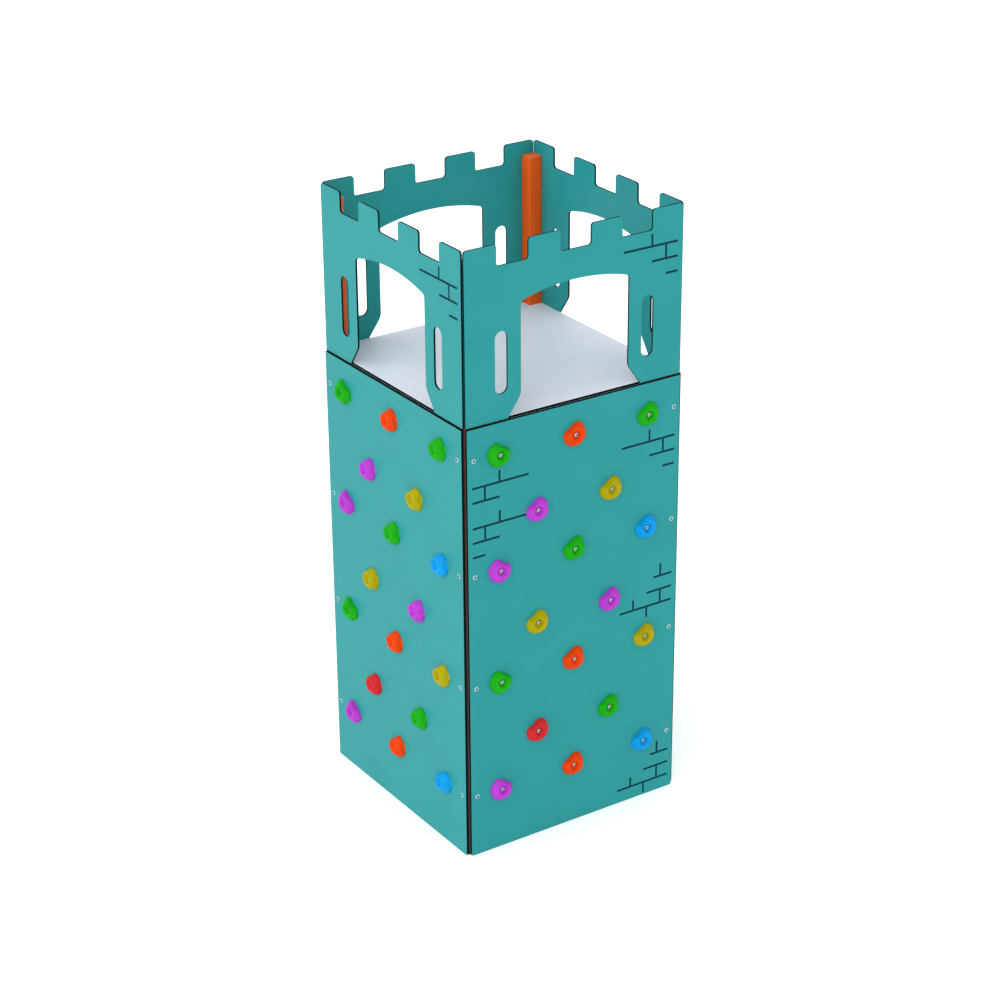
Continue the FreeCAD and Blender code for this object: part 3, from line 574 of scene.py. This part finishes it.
def holdOutline(bearing):
    notch = 0.0
    for direction, halfAngle, depth in holdShape["notches"]:
        away = (math.degrees(bearing) - direction + 180) % 360 - 180
        notch += depth * math.exp(-(away / halfAngle) ** 4)
    return holdShape["radius"] * (1 + holdShape["lean"] * math.cos(bearing) - notch)


def holdRing(bearing):
    # (radius, height) of the cage from the back edge, over the rim and down into the bowl
    outline = holdOutline(bearing)
    heavy = (1 + math.cos(bearing - math.radians(holdShape["heavyBearing"]))) / 2
    dent = 0.0
    if abs(math.degrees(bearing) - holdShape["dentBearing"]) < 1:
        dent = holdShape["dentDepth"]
    ring = [(outline, 0.0), (outline - dent, holdShape["footHeight"])]
    inset = holdShape["rimInset"]
    for thin, thick in holdShape["rims"].values():
        radius = thin[0] + (thick[0] - thin[0]) * heavy
        height = thin[1] + (thick[1] - thin[1]) * heavy
        ring.append((min(radius, outline - inset), height))
        inset += holdShape["rimStep"]
    ring += list(holdShape["counterbore"])
    ring += [(holdShape["boreRadius"], holdShape["seatHeight"]), (holdShape["boreRadius"], 0.0)]
    return ring


def pinDrill():
    # the rod that drills the small hole of the anti-spin screw
    rod = bmesh.new()
    floor = holdShape["pinFloor"]
    bmesh.ops.create_cone(rod, cap_ends=True, segments=holdShape["pinSides"],
                          radius1=holdShape["pinRadius"], radius2=holdShape["pinRadius"], depth=2 * floor)
    bmesh.ops.translate(rod, verts=rod.verts, vec=(*holdShape["pinPlace"], 2 * floor))
    mesh = bpy.data.meshes.new("pinDrill")
    rod.to_mesh(mesh)
    rod.free()
    drill = bpy.data.objects.new("pinDrill", mesh)
    bpy.context.scene.collection.objects.link(drill)
    return drill


def holdBlank():
    cage = bmesh.new()
    crease = cage.edges.layers.float.new("crease_edge")
    count = holdShape["directions"]
    columns = []
    for i in range(count):
        bearing = 2 * math.pi * i / count
        columns.append([cage.verts.new((r * math.cos(bearing), r * math.sin(bearing), h))
                        for r, h in holdRing(bearing)])
    rings = len(columns[0])
    for i in range(count):
        here, there = columns[i], columns[(i + 1) % count]
        for j in range(rings):
            k = (j + 1) % rings
            cage.faces.new((here[j], there[j], there[k], here[k]))
    ridge = 2 + list(holdShape["rims"]).index("ridge")
    sharpness = {0: 1.0, ridge: holdShape["ridgeCrease"], rings - 2: 1.0, rings - 1: 1.0}
    for j, value in sharpness.items():
        for i in range(count):
            edge = cage.edges.get((columns[i][j], columns[(i + 1) % count][j]))
            edge[crease] = value
    bmesh.ops.recalc_face_normals(cage, faces=cage.faces)
    mesh = bpy.data.meshes.new("holdBlank")
    cage.to_mesh(mesh)
    cage.free()
    blank = bpy.data.objects.new("holdBlank", mesh)
    bpy.context.scene.collection.objects.link(blank)
    subdivide = blank.modifiers.new("smooth", "SUBSURF")
    subdivide.levels = holdShape["smoothing"]
    subdivide.render_levels = holdShape["smoothing"]
    pin = pinDrill()
    drill = blank.modifiers.new("pin", "BOOLEAN")
    drill.operation = "DIFFERENCE"
    drill.solver = "EXACT"
    drill.object = pin
    depsgraph = bpy.context.evaluated_depsgraph_get()
    blank.data = bpy.data.meshes.new_from_object(blank.evaluated_get(depsgraph))
    blank.modifiers.clear()
    bpy.data.objects.remove(pin)
    return blank


def holdTree():
    tree = newTree("climbingHolds", [("Material", "Material"), ("Hold", "Object"), ("Size", "Float")])
    start = addNode(tree, "NodeGroupInput")
    cast = addNode(tree, "GeometryNodeObjectInfo", {"Object": start.outputs["Hold"], "As Instance": False})
    sized = addNode(tree, "GeometryNodeTransform",
                    {"Geometry": cast.outputs["Geometry"], "Scale": start.outputs["Size"]})
    copiesOnPoints(tree, start, sized.outputs["Geometry"])
    return tree


def boltCentres():
    # each hold bolt's side and its place on the face of the climbing board
    centres = []
    for low, high in islands("hold_bolts"):
        middle = (low + high) / 2
        side = sideOf(middle)
        centres.append((side, onFace(middle, side, -climbLow.y)))
    return centres


def makeHolds():
    blank = holdBlank()
    tree = holdTree()
    centres = boltCentres()
    # the column of holds that is turned is the leftmost as seen from outside
    across = {id(c): (Matrix.Rotation(math.radians(-sideTurns[s]), 3, "Z") @ c).x for s, c in centres}
    margin = holdShape["searchMargin"]
    leftmost = min(across.values()) + margin
    for colour, code in resinColours.items():
        # pigmented polyester resin cast in a sand-textured mould: deep colour, soft broken gloss
        finish = {**resin, "colour": code}
        material = startMaterial("castResin" + colour.capitalize(), finish, resin["constants"])["material"]
        for side in sideTurns:
            node = f"{colour}_holds_{side}"
            places = []
            for low, high in islands(node):
                inside = [c for s, c in centres if s == side and all(
                    low[a] - margin <= c[a] <= high[a] + margin for a in range(3))]
                bolt = inside[0]
                turned = holdShape["turnedBy"] if across[id(bolt)] < leftmost else 0
                places.append((bolt, outwardTurn(side, turned)))
            layout = layoutObject(node + "Layout", places)
            values = {"Material": material, "Hold": blank, "Size": 1.0}
            piece = runTree(layout, tree, values, node + "_look", holdShape["sharpAngle"])
            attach(piece, "root")
            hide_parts(node)
    bpy.data.objects.remove(blank)


makeHolds()
print("climbing holds made")

studio = {
    "floorHalf": 60.0, "floorGlow": 0.3,
    "floorFinish": {
        "colour": "#F4F4F4", "patch": 2.0, "shadeChange": 0.0,
        "roughness": 0.9, "smear": 2.0, "glossChange": 0.0, "grain": 2.0, "grainDepth": 0.0,
    },
    "skyStrength": 0.95,
    "sunBearing": (-0.80, -0.22, 0.62), "sunPower": 1.1, "sunAngle": 70,
}


def makeFloor():
    half = studio["floorHalf"]
    mesh = bpy.data.meshes.new("floor")
    corners = [(-half, -half, 0), (half, -half, 0), (half, half, 0), (-half, half, 0)]
    mesh.from_pydata(corners, [], [(0, 1, 2, 3)])
    floor = bpy.data.objects.new("floor", mesh)
    bpy.context.scene.collection.objects.link(floor)
    made = startMaterial("paleFloor", studio["floorFinish"], {
        "Specular IOR Level": 0.0, "Emission Color": (1, 1, 1, 1), "Emission Strength": studio["floorGlow"]})
    mesh.materials.append(made["material"])


def makeLight():
    world = bpy.data.worlds.new("studioSky")
    world.use_nodes = True
    backdrop = world.node_tree.nodes["Background"]
    backdrop.inputs["Color"].default_value = (1, 1, 1, 1)
    backdrop.inputs["Strength"].default_value = studio["skyStrength"]
    bpy.context.scene.world = world
    sun = bpy.data.lights.new("softbox", "SUN")
    sun.energy = studio["sunPower"]
    sun.angle = math.radians(studio["sunAngle"])
    lamp = bpy.data.objects.new("softbox", sun)
    lamp.rotation_euler = Vector(studio["sunBearing"]).to_track_quat("Z", "Y").to_euler()
    bpy.context.scene.collection.objects.link(lamp)


cameraSetup = {
    "place": (-6.234, -9.356, 6.599),  # metres from the middle of the tower's foot
    "azimuth": -33.626, "elevation": 24.577, "roll": -0.421,
    "lens": 93.96, "sensor": 36.0,
}


def makeCamera():
    azimuth, elevation, roll = (math.radians(cameraSetup[k]) for k in ("azimuth", "elevation", "roll"))
    back = Vector((math.sin(azimuth) * math.cos(elevation), -math.cos(azimuth) * math.cos(elevation),
                   math.sin(elevation)))
    right = (-back).cross(Vector((0, 0, 1))).normalized()
    up = right.cross(-back)
    across = right * math.cos(roll) + up * math.sin(roll)
    upright = up * math.cos(roll) - right * math.sin(roll)
    camera = bpy.data.objects.new("camera", bpy.data.cameras.new("camera"))
    camera.data.lens = cameraSetup["lens"]
    camera.data.sensor_width = cameraSetup["sensor"]
    turn = Matrix((across, upright, back)).transposed().to_4x4()
    camera.matrix_world = Matrix.Translation(cameraSetup["place"]) @ turn
    bpy.context.scene.collection.objects.link(camera)
    bpy.context.scene.camera = camera


makeFloor()
makeLight()
makeCamera()
bpy.context.scene.view_settings.view_transform = "Standard"
print("floor, light and camera set")
